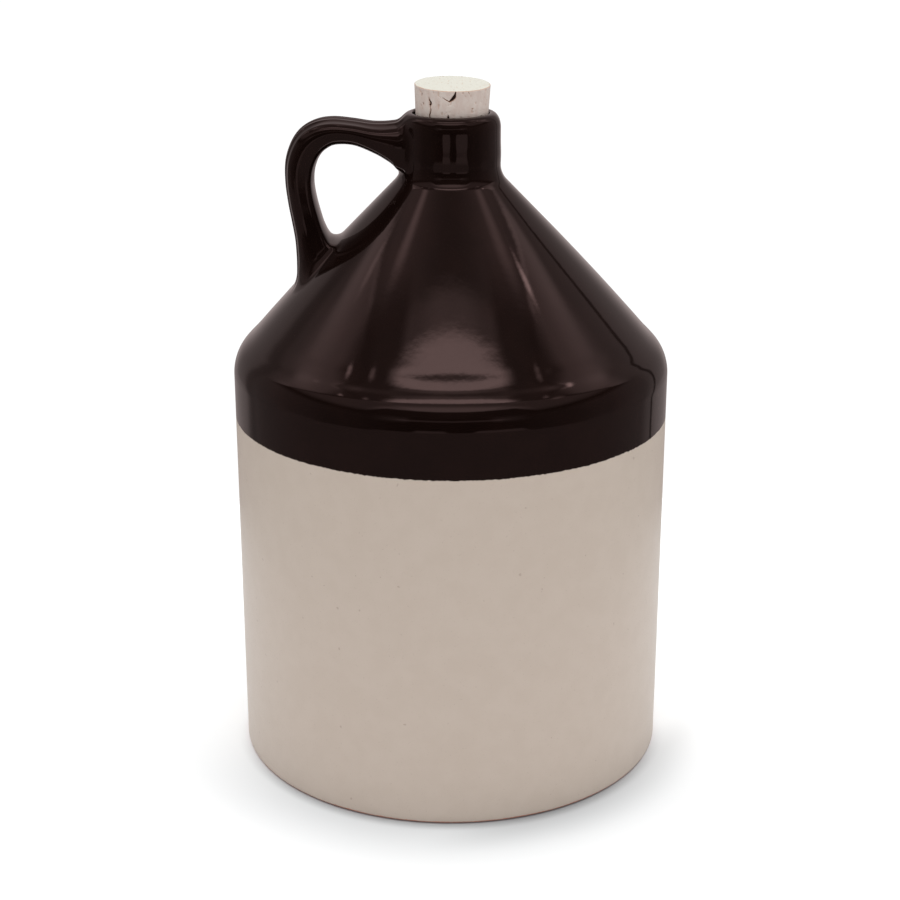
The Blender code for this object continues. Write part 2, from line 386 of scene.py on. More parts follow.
# Light tent, below the roof, in degrees: a doorway in front with a post at either side, the back, the table
ROOF_START = (19, 29)
LOW_GAINS = ((18, 60, 0.005, 0.06), (60, 85, 0.0, 0.06), (85, 110, 0.0, 0.06))
DOORWAY_RISE = 18
DOORWAY_HEIGHT = (0.8, 3.0, 0.22, 0.0)
DOORWAY_WIDTH = (24, 32, 1.0, 0.0)
POST_FOOT = (10, 17, 0.0, 0.13)
POST_INNER = (20, 24)
POST_OUTER = (30, 44, 1.0, 0.0)
BACK_START = (128, 134)
BACK_LEVEL = 0.27
BACK_GAIN = (146, 165, 0.0, 0.25)
BACK_WALL_START = (118, 128)
BACK_WALL_LEAST = 0.24
TABLE_LEVEL = (118, 140, 0.155, 0.34)
TABLE_LEFT_PART = ((-20, -17), (-4, 0, 1.0, 0.0))
TABLE_RIGHT_PART = ((10, 14), (35, 42, 1.0, 0.0))
TABLE_FAR_GAIN = (-14, -11, 0.0, 0.12)
TABLE_DROP = 5.0
TABLE_LIFT_START = (36, 44)
TABLE_LIFT_END = (70, 82, 4.0, 0.0)
TABLE_EDGE = (-12.5, -9.5, 1.0, 0.0)

# Light tent, thin dark seams between sides and back, softer on the left
RIGHT_SEAM_TURN = 131
RIGHT_SEAM = (0.5, 1.9, 0.85, 0.0)
LEFT_SEAM_TURN = -128
LEFT_SEAM = (1.0, 9.0, 0.45, 0.0)
DARK_SEAM_LEVEL = 0.02


def vertex_places(mesh):
    places = np.empty(len(mesh.vertices) * 3)
    mesh.vertices.foreach_get("co", places)
    return places.reshape(-1, 3)


def set_vertex_places(mesh, places):
    mesh.vertices.foreach_set("co", places.ravel())
    mesh.update()


def mesh_object(name, bm):
    mesh = bpy.data.meshes.new(name)
    bm.to_mesh(mesh)
    bm.free()
    obj = bpy.data.objects.new(name, mesh)
    bpy.context.scene.collection.objects.link(obj)
    return obj


def round_corner(before, corner, after, radius, step):
    """Points of the arc that rounds a corner of an outline."""
    towards_before = (before - corner).normalized()
    towards_after = (after - corner).normalized()
    half_angle = towards_before.angle(towards_after) / 2
    centre = corner + (towards_before + towards_after).normalized() * (radius / math.sin(half_angle))
    reach = radius / math.tan(half_angle)
    start = corner + towards_before * reach - centre
    end = corner + towards_after * reach - centre
    turn = start.angle_signed(end)
    steps = max(4, math.ceil(abs(turn) * radius / step))
    points = []
    for index in range(steps + 1):
        angle = -turn * index / steps
        x = start.x * math.cos(angle) - start.y * math.sin(angle)
        y = start.x * math.sin(angle) + start.y * math.cos(angle)
        points.append(centre + Vector((x, y)))
    return points


def lip_points():
    """The rim's outer rounding, a quarter of an ellipse that ends where the mouth's edge begins."""
    width = NECK_RADIUS - MOUTH_RADIUS - MOUTH_EDGE
    points = []
    for index in range(LIP_STEPS + 1):
        angle = math.pi / 2 * index / LIP_STEPS
        radius = NECK_RADIUS - width * (1 - math.cos(angle))
        height = RIM_HEIGHT - LIP_DROP * (1 - math.sin(angle))
        points.append(Vector((radius, height)))
    return points


def body_outline():
    """The turned profile, as (radius, height), from the foot up to the rim."""
    base_centre = Vector((0, 0))
    foot = Vector((BODY_RADIUS, 0))
    shoulder = Vector((BODY_RADIUS, SHOULDER_HEIGHT))
    neck_foot = Vector((NECK_RADIUS, NECK_FOOT_HEIGHT))
    slope = (neck_foot - shoulder).normalized()
    middle = (shoulder + neck_foot) / 2 + Vector((slope.y, -slope.x)) * CONE_BULGE
    lip = lip_points()
    outline = round_corner(base_centre, foot, shoulder, FOOT_ROUNDING, FOOT_ROUNDING / 4)
    outline += round_corner(foot, shoulder, middle, SHOULDER_ROUNDING, CONE_STEP / 2)
    outline += round_corner(shoulder, middle, neck_foot, CONE_ROUNDING, CONE_STEP)
    outline += round_corner(middle, neck_foot, lip[0], NECK_FOOT_ROUNDING, CONE_STEP / 2)
    outline += lip
    return [with_rings(point, shoulder, slope) for point in spaced(outline)]


def with_rings(point, shoulder, slope):
    """The point moved by the potter's faint rings at the foot of the cone, or by the neck's slight flare."""
    moved = point.copy()
    if point.y <= NECK_FOOT_HEIGHT:
        up_slope = (point - shoulder).dot(slope)
        offset = sum(lift * (1 - math.erf((up_slope - place) / reach)) / 2 for place, reach, lift in RINGS)
        moved += Vector((slope.y, -slope.x)) * offset
    above = (point.y - NECK_FOOT_HEIGHT - NECK_FLARE_PLACE) / NECK_FLARE_REACH
    moved.x += NECK_FLARE * math.exp(-(above**2))
    return Vector((min(moved.x, BODY_RADIUS), moved.y))


def longest_step(height):
    """The longest step along the outline at a height."""
    above = height - SHOULDER_HEIGHT
    if above < -SHOULDER_ROUNDING:
        return WALL_STEP
    return RING_STEP if above < RINGED_HEIGHT else CONE_STEP


def spaced(outline):
    """The outline with its long straight stretches split."""
    points = [outline[0]]
    for before, after in zip(outline, outline[1:]):
        parts = math.ceil((after - before).length / longest_step(after.y))
        points += [before.lerp(after, part / parts) for part in range(1, parts + 1)]
    return points


def cutter_outline():
    """The bore's profile, past the mouth's rounded inner edge, to above the rim."""
    floor_edge = Vector((MOUTH_RADIUS, MOUTH_FLOOR_HEIGHT))
    outline = [floor_edge, Vector((MOUTH_RADIUS, RIM_HEIGHT - 2 * MOUTH_EDGE))]
    for index in range(MOUTH_EDGE_STEPS + 1):
        angle = math.pi / 2 * index / MOUTH_EDGE_STEPS
        radius = MOUTH_RADIUS + MOUTH_EDGE * (1 - math.cos(angle))
        outline.append(Vector((radius, RIM_HEIGHT - MOUTH_EDGE * (1 - math.sin(angle)))))
    outline.append(Vector((outline[-1].x, RIM_HEIGHT + CUTTER_ABOVE_RIM)))
    return outline


def turned(name, outline, segments):
    """A closed solid turned about Z from an outline, with flat ends."""
    bm = bmesh.new()
    rings = []
    for point in outline:
        ring = []
        for index in range(segments):
            angle = math.tau * index / segments
            ring.append(bm.verts.new((point.x * math.cos(angle), point.x * math.sin(angle), point.y)))
        rings.append(ring)
    join_rings(bm, rings)
    return mesh_object(name, bm)


def join_rings(bm, rings):
    """Quads between closed rings, and a face over each end."""
    for ring, after in zip(rings, rings[1:]):
        for index in range(len(ring)):
            following = (index + 1) % len(ring)
            bm.faces.new((ring[index], ring[following], after[following], after[index]))
    bm.faces.new(rings[0])
    bm.faces.new(rings[-1])
    bmesh.ops.recalc_face_normals(bm, faces=bm.faces)


def smooth_station(position):
    """Outer point, inner point and half width, on a Catmull-Rom curve through the stations."""
    last = len(HANDLE_STATIONS) - 1
    index = min(int(position), last - 1)
    part = position - index
    around = [HANDLE_STATIONS[max(0, min(last, index + offset))] for offset in (-1, 0, 1, 2)]
    values = []
    for a, b, c, d in zip(*around):
        square = 2 * a - 5 * b + 4 * c - d
        cube = 3 * b - a - 3 * c + d
        values.append((2 * b + (c - a) * part + square * part**2 + cube * part**3) / 2 * MM)
    outer_x, outer_z, inner_x, inner_z, half_width = values
    return Vector((outer_x, 0, outer_z)), Vector((inner_x, 0, inner_z)), half_width


def hollow(across):
    """How deep the strap's outer face lies, at a distance across it, between its lengthwise ridges."""
    fade = max(0, 1 - (across / RIDGED_HALF_WIDTH) ** 4)
    from_crest = across - RIDGE_PITCH * round(across / RIDGE_PITCH)
    return RIDGE_HEIGHT * fade * (1 - math.exp(-((from_crest / RIDGE_WIDTH) ** 2)))


def half_section(half_thickness, half_width):
    """Half of the strap's cross-section, as (distance outward, distance across).

    It runs from the outer to the inner middle: a rounded back, a flat side, a small rounded corner and a
    slightly bulging inner face.
    """
    points = []
    for index in range(BACK_POINTS):
        angle = math.pi / 2 * index / BACK_POINTS
        distance = half_thickness * math.cos(angle) ** (2 / SECTION_POWER)
        across = half_width * math.sin(angle) ** (2 / SECTION_POWER)
        points.append(Vector((distance - hollow(across), across)))
    arris = Vector((0, half_width))
    corner = Vector((INNER_BULGE - half_thickness, half_width * INNER_SHARE))
    inner_half_width = corner.y - CORNER_REACH
    corner_start = corner + (arris - corner).normalized() * CORNER_REACH
    corner_end = Vector((INNER_BULGE * (inner_half_width / corner.y) ** 2 - half_thickness, inner_half_width))
    points += [arris.lerp(corner_start, index / SIDE_POINTS) for index in range(SIDE_POINTS)]
    for index in range(CORNER_POINTS):
        part = index / CORNER_POINTS
        points.append(corner_start.lerp(corner, part).lerp(corner.lerp(corner_end, part), part))
    for index in range(INNER_POINTS + 1):
        across = inner_half_width * (1 - index / INNER_POINTS)
        points.append(Vector((INNER_BULGE * (across / corner.y) ** 2 - half_thickness, across)))
    return points


def strap_section(outer, inner, half_width):
    """The strap's cross-section in place, both halves."""
    centre = (outer + inner) / 2
    outward = (outer - inner).normalized()
    half = half_section((outer - inner).length / 2, half_width)
    one_side = [centre + outward * point.x + Vector((0, point.y, 0)) for point in half]
    other_side = [centre + outward * point.x - Vector((0, point.y, 0)) for point in half[1:-1]]
    return one_side + other_side[::-1]


def make_strap():
    bm = bmesh.new()
    steps = (len(HANDLE_STATIONS) - 1) * STEPS_PER_STATION
    rings = []
    for step in range(steps + 1):
        section = strap_section(*smooth_station(step / STEPS_PER_STATION))
        rings.append([bm.verts.new(point) for point in section])
    join_rings(bm, rings)
    return mesh_object("strap", bm)


def apply_boolean(target, other, operation):
    modifier = target.modifiers.new(operation.lower(), "BOOLEAN")
    modifier.operation = operation
    modifier.solver = "EXACT"
    modifier.object = other
    depsgraph = bpy.context.evaluated_depsgraph_get()
    mesh = bpy.data.meshes.new_from_object(target.evaluated_get(depsgraph))
    target.modifiers.remove(modifier)
    target.data = mesh
    bpy.data.objects.remove(other)


class StrapField:
    """Signed distance to the strap, and the way out of it, from its own mesh."""

    def __init__(self, obj):
        bm = bmesh.new()
        bm.from_mesh(obj.data)
        bmesh.ops.triangulate(bm, faces=bm.faces)
        bm.normal_update()
        self.points = np.array([v.co for v in bm.verts])
        self.normals = np.array([v.normal for v in bm.verts])
        self.faces = np.array([[v.index for v in f.verts] for f in bm.faces])
        self.tree = BVHTree.FromBMesh(bm)
        bm.free()

    def __call__(self, places):
        near = [self.tree.find_nearest(Vector(place)) for place in places]
        feet = np.array([found[0] for found in near])
        corners = self.faces[[found[2] for found in near]]
        a, b, c = (self.points[corners[:, k]] for k in range(3))
        total = np.cross(b - a, c - a)
        square = np.maximum((total**2).sum(1), TINY_SQUARE)
        share_b = (np.cross(feet - a, c - a) * total).sum(1) / square
        share_c = (np.cross(b - a, feet - a) * total).sum(1) / square
        shares = np.clip(np.stack([1 - share_b - share_c, share_b, share_c], 1), 0, 1)
        out = (self.normals[corners] * shares[:, :, None]).sum(1)
        out /= np.linalg.norm(out, axis=1)[:, None]
        away = places - feet
        distance = np.linalg.norm(away, axis=1) * np.sign((away * out).sum(1))
        return distance, out


class BodyField:
    """Signed distance to the turned body, and the way out of it, from its outline."""

    def __init__(self, outline):
        self.points = np.array(outline)
        along = np.gradient(self.points, axis=0)
        along /= np.linalg.norm(along, axis=1)[:, None]
        self.normals = np.stack([along[:, 1], -along[:, 0]], 1)

    def __call__(self, places):
        radius = np.hypot(places[:, 0], places[:, 1])
        flat = np.stack([radius, places[:, 2]], 1)
        start = self.points[:-1]
        step = np.diff(self.points, axis=0)
        share = ((flat[:, None] - start) * step).sum(2) / (step**2).sum(1)
        share = np.clip(share, 0, 1)
        away = flat[:, None] - (start + share[..., None] * step)
        best = (away**2).sum(2).argmin(1)
        row = np.arange(len(flat))
        share = share[row, best][:, None]
        away = away[row, best]
        normal = self.normals[best] * (1 - share) + self.normals[best + 1] * share
        normal /= np.linalg.norm(normal, axis=1)[:, None]
        distance = np.linalg.norm(away, axis=1) * np.sign((away * normal).sum(1))
        round_about = places[:, :2] / np.maximum(radius, TINY)[:, None]
        out = np.concatenate([round_about * normal[:, :1], normal[:, 1:]], 1)
        return distance, out


def blended(body_field, strap_field, places):
    """The smooth union of body and strap: its value, the way out, and how near a place is to both."""
    body_distance, body_out = body_field(places)
    strap_distance, strap_out = strap_field(places)
    towards_neck = np.clip((places[:, 2] - BLEND_CHANGE_HEIGHT) / BLEND_CHANGE_OVER + 0.5, 0, 1)
    reach = ROOT_BLEND + (NECK_BLEND - ROOT_BLEND) * towards_neck
    share = np.clip(0.5 + 0.5 * (strap_distance - body_distance) / reach, 0, 1)
    value = strap_distance * (1 - share) + body_distance * share - reach * share * (1 - share)
    out = body_out * share[:, None] + strap_out * (1 - share)[:, None]
    return value, out, np.maximum(np.abs(body_distance), np.abs(strap_distance)) / reach


def soften_joins(obj, body_field, strap_field):
    """Moves the points near the joins onto the smooth union, and shades them by it."""
    mesh = obj.data
    places = vertex_places(mesh)
    radius = np.hypot(places[:, 0], places[:, 1])
    beside = (places[:, 0] < JOIN_START) & (np.abs(places[:, 1]) < JOIN_HALF_WIDTH)
    beside &= (places[:, 2] > JOIN_LOWEST) & (radius > MOUTH_RADIUS + MOUTH_EDGE / 2)
    chosen = np.nonzero(beside)[0]
    _, _, nearness = blended(body_field, strap_field, places[chosen])
    chosen = chosen[nearness < JOIN_REACHES]
    moved = places[chosen]
    for _ in range(PROJECTION_ROUNDS):
        value, out, _ = blended(body_field, strap_field, moved)
        step = -value[:, None] * out / np.maximum((out**2).sum(1), LEAST_SLOPE)[:, None]
        length = np.linalg.norm(step, axis=1)[:, None]
        moved = moved + step * np.minimum(1, LONGEST_MOVE / np.maximum(length, TINY))
    places[chosen] = moved
    set_vertex_places(mesh, places)
    _, out, _ = blended(body_field, strap_field, moved)
    out /= np.linalg.norm(out, axis=1)[:, None]
    normals = np.array([v.vector for v in mesh.vertex_normals])
    inward = (normals[chosen] * out).sum(1) < 0
    normals[chosen[~inward]] = out[~inward]
    mesh.shade_smooth()
    mesh.normals_split_custom_set_from_vertices([Vector(n) for n in normals])


def make_jug():
    """Body, neck and handle as one fine mesh."""
    outline = body_outline()
    jug = turned("jug_glazed", outline, BODY_SEGMENTS)
    strap = make_strap()
    strap_field = StrapField(strap)
    body_field = BodyField(outline)
    apply_boolean(jug, strap, "UNION")
    bm = bmesh.new()
    bm.from_mesh(jug.data)
    bmesh.ops.remove_doubles(bm, verts=bm.verts, dist=WELD_DISTANCE)
    many_sided = [face for face in bm.faces if 4 < len(face.verts) < BODY_SEGMENTS]
    bmesh.ops.triangulate(bm, faces=many_sided)
    bm.to_mesh(jug.data)
    bm.free()
    apply_boolean(jug, turned("mouth_cutter", cutter_outline(), BODY_SEGMENTS), "DIFFERENCE")
    soften_joins(jug, body_field, strap_field)
    return jug


def cork_outline():
    """The cork's profile below its top's centre, as (radius, height), from the top's edge down."""
    bottom_radius = CORK_RADIUS - CORK_LENGTH * math.tan(CORK_TAPER)
    top_centre = Vector((0, 0))
    top_edge = Vector((CORK_RADIUS, 0))
    bottom_edge = Vector((bottom_radius, -CORK_LENGTH))
    bottom_centre = Vector((0, -CORK_LENGTH))
    rings = math.ceil(CORK_RADIUS / CORK_TOP_STEP)
    ring_step = CORK_RADIUS * CORK_TOP_SHARE / rings
    inside = [Vector((ring_step * index, 0)) for index in range(2, rings + 1)]
    outline = inside + round_corner(top_centre, top_edge, bottom_edge, CORK_EDGE, CORK_EDGE / 4)
    start = outline[-1]
    shown_end = top_edge.lerp(bottom_edge, CORK_SHOWN / CORK_LENGTH)
    steps = math.ceil(CORK_SHOWN / CORK_STEP)
    outline += [start.lerp(shown_end, index / steps) for index in range(1, steps + 1)]
    outline.append(shown_end.lerp(bottom_edge, 0.5))
    outline += round_corner(top_edge, bottom_edge, bottom_centre, CORK_EDGE, CORK_EDGE / 4)
    return outline


def crack_depth(cracks, along, below):
    """How deep the cork's cracks are at places given by two measures along its surface, in metres."""
    deepest = np.zeros_like(along)
    for depth, points in cracks:
        for before, after in zip(points, points[1:]):
            ax, ay, aw = (value * MM for value in before)
            bx, by, bw = (value * MM for value in after)
            square = (bx - ax) ** 2 + (by - ay) ** 2
            share = np.clip(((along - ax) * (bx - ax) + (below - ay) * (by - ay)) / square, 0, 1)
            width = aw + (bw - aw) * share
            away = np.hypot(along - ax - share * (bx - ax), below - ay - share * (by - ay))
            inside = np.clip((width - away) / np.minimum(width, CRACK_EDGE) + CRACK_WIDENING, 0, 1)
            deepest = np.maximum(deepest, depth * MM * inside)
    return deepest


def make_cork():
    """The stopper, with cracks and pits, grain, and faint lines in its top."""
    cork = turned("cork_stopper", cork_outline(), CORK_SEGMENTS)
    mesh = cork.data
    places = vertex_places(mesh)
    radius = np.hypot(places[:, 0], places[:, 1])
    below = -places[:, 2]
    side_radius = CORK_RADIUS - CORK_EDGE * CORK_SIDE_MARGIN - np.maximum(below, 0)
    on_side = (radius > side_radius) & (below > 0)
    on_top = ~on_side & (below < CORK_EDGE)
    along = np.arctan2(places[:, 0], -places[:, 1]) * CORK_RADIUS
    cracks = np.where(on_side, crack_depth(CORK_CRACKS, along, below), 0)
    cracks = np.where(on_top, crack_depth(CORK_TOP_LINES, places[:, 0], places[:, 1]), cracks)
    grain = np.array([0.5 + 0.5 * noise.noise(Vector(place) / GRAIN_SIZE) for place in places])
    pit_places = places / np.array(PIT_SIZE) + np.array(PIT_SHIFT)
    pits = np.array([noise.noise(Vector(place)) for place in pit_places])
    pitted = np.clip((pits - PIT_FROM) / PIT_OVER, 0, 1)
    depth = cracks + GRAIN_DEPTH * grain + PIT_DEPTH * pitted
    inward = np.stack([-places[:, 0], -places[:, 1], np.zeros(len(places))], 1)
    inward /= np.maximum(radius, TINY)[:, None]
    way = np.where(on_side[:, None], inward, (0, 0, -1))
    carved = below < CORK_LENGTH * CORK_RELIEF_SHARE
    places += way * (depth * carved)[:, None]
    set_vertex_places(mesh, places)
    # How deep each point lies in a crack or pit, for the rust at the cracks' edges and the painted shade in
    # them
    cavity_rust_and_shade = mesh.attributes.new("cavity_rust_and_shade", "FLOAT", "POINT")
    darkness = np.clip(cracks / FULL_CAVITY_DEPTH + pitted * PIT_DARKNESS, 0, 1)
    cavity_rust_and_shade.data.foreach_set("value", darkness.astype(np.float32))
    mesh.shade_smooth()
    mesh.transform(CORK_LEAN.to_matrix().to_4x4())
    mesh.transform(Matrix.Translation(CORK_TOP))
    return cork


class Tree:
    """A short way to write a shader's nodes."""

    def __init__(self, tree):
        self.tree = tree

    def new(self, kind, **values):
        made = self.tree.nodes.new(kind)
        for name, value in values.items():
            setattr(made, name, value)
        return made

    def plug(self, value, socket):
        if isinstance(value, bpy.types.NodeSocket):
            self.tree.links.new(value, socket)
        else:
            socket.default_value = value

    def xyz(self, vector):
        made = self.new("ShaderNodeSeparateXYZ")
        self.plug(vector, made.inputs[0])
        return made.outputs

    def math(self, operation, first, second=0.0):
        made = self.new("ShaderNodeMath", operation=operation)
        self.plug(first, made.inputs[0])
        self.plug(second, made.inputs[1])
        return made.outputs[0]

    def plus(self, *values):
        total = values[0]
        for value in values[1:]:
            total = self.math("ADD", total, value)
        return total

    def times(self, *values):
        total = values[0]
        for value in values[1:]:
            total = self.math("MULTIPLY", total, value)
        return total

    def hypotenuse(self, first, second):
        return self.math("SQRT", self.plus(self.times(first, first), self.times(second, second)))

    def away(self, value, place):
        """How far value is from place, to either side."""
        return self.math("ABSOLUTE", self.math("SUBTRACT", value, place))

    def ramp(self, value, low, high, to_low=0.0, to_high=1.0):
        """A smooth step of value from low to high."""
        made = self.new("ShaderNodeMapRange", interpolation_type="SMOOTHSTEP")
        self.plug(value, made.inputs["Value"])
        self.plug(low, made.inputs["From Min"])
        self.plug(high, made.inputs["From Max"])
        self.plug(to_low, made.inputs["To Min"])
        self.plug(to_high, made.inputs["To Max"])
        return made.outputs["Result"]

    def between(self, value, rising, falling):
        """A smooth bump of value, up over one range and down over the other."""
        return self.times(self.ramp(value, *rising), self.ramp(value, *falling))

    def oval(self, across, along, at_across, at_along, size, strength):
        """A soft round spot in the plane of across and along."""
        right = self.math("SUBTRACT", across, at_across)
        up = self.math("SUBTRACT", along, at_along)
        return self.ramp(self.hypotenuse(right, up), 0.0, size, strength, 0.0)

    def noise(self, place, scale, detail):
        made = self.new("ShaderNodeTexNoise")
        self.plug(place, made.inputs["Vector"])
        self.plug(scale, made.inputs["Scale"])
        self.plug(detail, made.inputs["Detail"])
        self.plug(NOISE_ROUGHNESS, made.inputs["Roughness"])
        return made.outputs["Fac"]

    def wobble(self, place, scale, detail, amount):
        """Noise to either side of zero."""
        return self.times(self.math("SUBTRACT", self.noise(place, scale, detail), 0.5), amount)

    def mix(self, share, first, second):
        made = self.new("ShaderNodeMix", data_type="RGBA")
        self.plug(share, made.inputs["Factor"])
        self.plug(first if isinstance(first, bpy.types.NodeSocket) else (*first, 1), made.inputs[6])
        self.plug(second if isinstance(second, bpy.types.NodeSocket) else (*second, 1), made.inputs[7])
        return made.outputs[2]

    def mix_value(self, share, first, second):
        made = self.new("ShaderNodeMix", data_type="FLOAT")
        self.plug(share, made.inputs["Factor"])
        self.plug(first, made.inputs[2])
        self.plug(second, made.inputs[3])
        return made.outputs[0]

    def bump(self, height, distance):
        made = self.new("ShaderNodeBump")
        made.inputs["Strength"].default_value = 1
        made.inputs["Distance"].default_value = distance
        self.plug(height, made.inputs["Height"])
        return made.outputs["Normal"]


def new_material(name):
    mat = bpy.data.materials.new(name)
    mat.use_nodes = True
    tree = Tree(mat.node_tree)
    shader = mat.node_tree.nodes["Principled BSDF"]
    place = tree.new("ShaderNodeTexCoord").outputs["Object"]
    return mat, tree, shader, place


def cream_colour(tree, place, height, fine):
    """Cream glaze, a little uneven, with small and large specks, painted shade darker towards the foot and
    painted light paler and warmer towards the top.
    """
    cream = tree.mix(tree.ramp(tree.noise(place, MOTTLE_SCALE, 3), *MOTTLE_RANGE), CREAM, CREAM_DARK)
    cream = tree.mix(tree.ramp(fine, *SMALL_SPECKS), cream, SPECK)
    cream = tree.mix(tree.ramp(tree.noise(place, SPECK_SCALE, 1), *LARGE_SPECKS), cream, SPECK)
    # Painted shade darkens the cream towards the foot, painted light makes it paler and warmer towards the
    # top
    shaded_foot_cream = tree.mix(CREAM_PAINTED_SHADING, cream, BLACK)
    lit_top_cream = tree.mix(CREAM_PAINTED_SHADING, cream, CREAM_LIT_TINT)
    return tree.mix(tree.ramp(height, *CREAM_SHADE_TO_LIGHT_HEIGHTS), shaded_foot_cream, lit_top_cream)


def brown_colour(tree, place):
    thin = tree.ramp(tree.noise(place, BROWN_SCALE, 4), *BROWN_THIN_RANGE)
    return tree.mix(thin, BROWN, BROWN_THIN)


def glaze_relief(tree, place, fine, dark):
    """The dark glaze's waves and orange peel, and the cream glaze's finer grain."""
    peel = tree.times(tree.noise(place, PEEL_SCALE, 2), PEEL_SHARE)
    long_wave = tree.times(tree.noise(place, LONG_WAVE_SCALE, 1), LONG_WAVE_SHARE)
    short_wave = tree.times(tree.noise(place, SHORT_WAVE_SCALE, 1), SHORT_WAVE_SHARE)
    waves = tree.plus(peel, tree.plus(long_wave, short_wave))
    fine_grain = tree.times(fine, FINE_GRAIN_SHARE)
    coarse_grain = tree.times(tree.noise(place, COARSE_GRAIN_SCALE, 2), COARSE_GRAIN_SHARE)
    return tree.mix_value(dark, tree.plus(fine_grain, coarse_grain), waves)


def glaze_material():
    """Dark brown glaze over cream glaze, with the bare toasted clay of the foot below."""
    mat, tree, shader, place = new_material("glazed_stoneware")
    height = tree.xyz(place)["Z"]
    ragged = tree.wobble(place, RAGGED_SCALE, 3, LINE_RAGGED)
    wander = tree.wobble(place, WANDER_SCALE, 1, LINE_WANDER)
    line = tree.plus(height, tree.plus(ragged, wander))
    dark = tree.ramp(line, GLAZE_LINE_HEIGHT - LINE_SOFTNESS, GLAZE_LINE_HEIGHT + LINE_SOFTNESS)
    bare = tree.ramp(line, *BARE_FOOT)
    fine = tree.noise(place, FINE_SCALE, 2)

    colour = tree.mix(dark, cream_colour(tree, place, height, fine), brown_colour(tree, place))
    tree.plug(tree.mix(bare, colour, FOOT), shader.inputs["Base Color"])

    gloss = tree.ramp(tree.noise(place, GLOSS_SCALE, 3), *BROWN_ROUGHNESS)
    rough = tree.mix_value(dark, tree.ramp(fine, *CREAM_ROUGHNESS), gloss)
    tree.plug(tree.mix_value(bare, rough, FOOT_ROUGHNESS), shader.inputs["Roughness"])
    shader.inputs["IOR"].default_value = GLAZE_IOR
    shader.inputs["Specular Tint"].default_value = (*GLAZE_TINT, 1)

    relief = glaze_relief(tree, place, fine, dark)
    tree.plug(tree.bump(relief, GLAZE_BUMP), shader.inputs["Normal"])
    return mat


def cork_rim(tree, place, facing_up):
    """How rusty the edge round the cork's top is."""
    rim = tree.between(facing_up, RIM_FACING_IN, RIM_FACING_OUT)
    return tree.times(rim, tree.ramp(tree.noise(place, RIM_SCALE, 2), *RIM_UNEVEN))


def cork_material():
    """Pale cork with a yellower top, a rusty rim, specks, cracks rusty at their edges, and painted shade in
    the cracks and pits.
    """
    mat, tree, shader, place = new_material("natural_cork")
    cavity_rust_and_shade = tree.new("ShaderNodeAttribute", attribute_name="cavity_rust_and_shade").outputs["Fac"]
    normal = tree.new("ShaderNodeNewGeometry").outputs["Normal"]
    facing_up = tree.xyz(normal)["Z"]
    stretched = tree.new("ShaderNodeMapping")
    stretched.inputs["Scale"].default_value = CORK_STRETCH
    tree.plug(place, stretched.inputs["Vector"])
    blotch = tree.noise(stretched.outputs["Vector"], BLOTCH_SCALE, 4)
    specks = tree.noise(place, CORK_SPECK_SCALE, 2)

    colour = tree.mix(tree.ramp(blotch, *BLOTCH_RANGE), CORK_PALE, CORK_PINK)
    colour = tree.mix(tree.ramp(facing_up, *CORK_TOP_FACING), colour, CORK_TOP_COLOUR)
    colour = tree.mix(cork_rim(tree, place, facing_up), colour, CORK_RUST)
    colour = tree.mix(tree.ramp(specks, *CORK_SPECKS), colour, CORK_RUST)
    colour = tree.mix(tree.ramp(cavity_rust_and_shade, *CRACK_RUST), colour, CORK_RUST)
    # Painted shade: the deeper a crack or pit, the darker it is painted
    colour = tree.mix(tree.ramp(cavity_rust_and_shade, *CRACK_SHADE_RANGE), colour, CORK_CRACK_SHADE)
    tree.plug(colour, shader.inputs["Base Color"])

    tree.plug(tree.ramp(specks, *CORK_ROUGHNESS), shader.inputs["Roughness"])
    relief = tree.noise(place, CORK_RELIEF_SCALE, 3)
    tree.plug(tree.bump(relief, CORK_BUMP), shader.inputs["Normal"])
    return mat


def floor_material():
    """A pale matt floor, with a painted soft shadow round the jug's base that is deepest in front and at the
    right, and a painted glow behind it.
    """
    mat, tree, shader, place = new_material("pale_floor")
    x, y, _ = tree.xyz(place)
    from_axis = tree.hypotenuse(x, y)
    near = tree.ramp(from_axis, *FLOOR_NEAR_RANGE)
    front = tree.ramp(y, *FLOOR_FRONT_RANGE)
    pale = tree.mix(tree.noise(place, FLOOR_SCALE, 2), FLOOR_PALE, FLOOR_PALER)
    # Painted shadow round the base, deepest in front, at the contact and at the right
    colour = tree.mix(tree.times(near, front), pale, FLOOR_NEAR)
    contact = tree.times(tree.ramp(from_axis, *CONTACT_SHADE), front)
    colour = tree.mix(contact, colour, BLACK)
    to_right = tree.plus(x, tree.times(y, -1.0))
    right = tree.times(tree.ramp(from_axis, *RIGHT_SHADE), tree.ramp(to_right, *RIGHT_SHADE_START))
    tree.plug(tree.mix(right, colour, BLACK), shader.inputs["Base Color"])
    # Painted light: the floor glows a little near the base behind the jug
    behind = tree.math("SUBTRACT", 1.0, front)
    tree.plug(tree.times(near, behind, FLOOR_GLOW_BEHIND), shader.inputs["Emission Strength"])
    shader.inputs["Emission Color"].default_value = (*WHITE, 1)
    shader.inputs["Roughness"].default_value = FLOOR_ROUGHNESS
    shader.inputs["Specular IOR Level"].default_value = 0.0
    return mat


def make_floor():
    bm = bmesh.new()
    bmesh.ops.create_circle(bm, cap_ends=True, segments=FLOOR_SEGMENTS, radius=FLOOR_RADIUS)
    floor = mesh_object("floor", bm)
    floor.data.materials.append(floor_material())
    floor.location.z = -FLOOR_DROP


